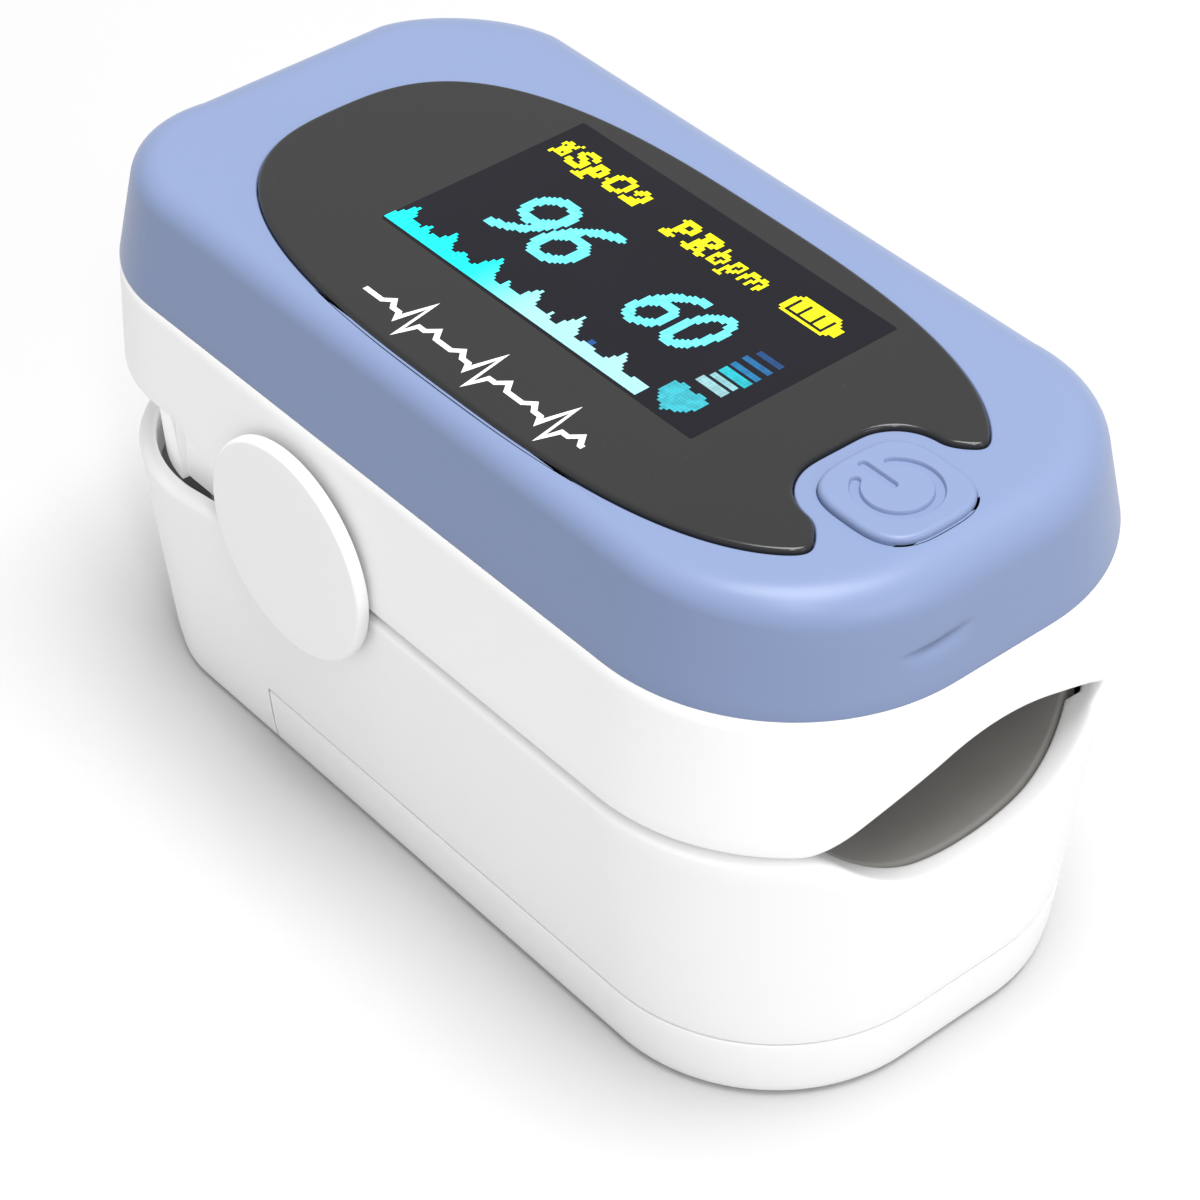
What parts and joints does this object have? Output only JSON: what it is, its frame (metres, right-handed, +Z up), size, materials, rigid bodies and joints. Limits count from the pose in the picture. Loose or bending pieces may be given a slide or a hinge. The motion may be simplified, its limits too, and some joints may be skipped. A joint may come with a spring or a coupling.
{
  "type": "fingertip pulse oximeter",
  "caption": "Spring clip of two rounded plastic shells that closes on a fingertip, with a display under a dark lens, a power button and a battery bay.",
  "frame": {"origin": "centre of the bounding box's underside, on the table", "axes": "+X towards the end the finger enters, -X the end that is squeezed, +Z up, out of the display"},
  "size_m": [0.0589, 0.033, 0.0348],
  "materials": {
    "white_plastic": "smooth",
    "blue_plastic": "satin",
    "frame_plastic": "satin",
    "dark_lens": "polished",
    "grey_silicone": "matte",
    "circuit_board": "satin",
    "black_plastic": "matte",
    "clear_window": "clear",
    "display_glass": "polished",
    "battery_wrap": "printed sleeve",
    "plated_steel": "plated",
    "ribbon_film": "satin",
    "foam": "matte"
  },
  "bodies": {
    "lower": {"lower_shell": "white_plastic", "lower_frame": "frame_plastic", "lower_pad": "grey_silicone", "sensor_board": "circuit_board", "photodiode": "black_plastic", "sensor_window": "clear_window", "battery_left": "battery_wrap", "battery_right": "battery_wrap", "spring_contact": "plated_steel", "plate_contact": "plated_steel", "bridge_contact": "plated_steel", "hinge_pins": "plated_steel", "pivot_cap_near": "white_plastic", "pivot_cap_far": "white_plastic", "torsion_springs": "plated_steel", "lower_screws": "plated_steel", "flex_ribbon": "ribbon_film"},
    "upper": {"upper_shell": "white_plastic", "top_cover": "blue_plastic", "display_lens": "dark_lens", "oled_panel": "display_glass", "panel_gasket": "foam", "panel_holder": "frame_plastic", "main_board": "circuit_board", "board_parts": "black_plastic", "board_socket": "frame_plastic", "tact_switch": "plated_steel", "upper_frame": "frame_plastic", "upper_pad": "grey_silicone", "emitter": "frame_plastic", "emitter_window": "clear_window", "emitter_board": "circuit_board", "emitter_pins": "plated_steel", "board_screws": "plated_steel", "frame_screws": "plated_steel"},
    "button": {"power_button": "blue_plastic", "switch_stem": "black_plastic"},
    "lid": {"battery_cover": "white_plastic"}
  },
  "joints": [
    {"name": "clip_hinge", "type": "hinge", "parent": "lower", "child": "upper", "pos_m": [-0.0071, 0, 0.0196], "axis": [0, -1, 0], "range_deg": [0, 13], "stiffness_Nm_per_rad": 0.12, "springref_deg": -20.05, "deforming": ["flex_ribbon", "torsion_springs"]},
    {"name": "button_press", "type": "slide", "parent": "upper", "child": "button", "axis": [0, 0, -1], "range_m": [0, 0.00035], "stiffness_N_per_m": 800},
    {"name": "battery_cover_slide", "type": "slide", "parent": "lower", "child": "lid", "axis": [1, 0, 0], "range_m": [0, 0.048]}
  ]
}
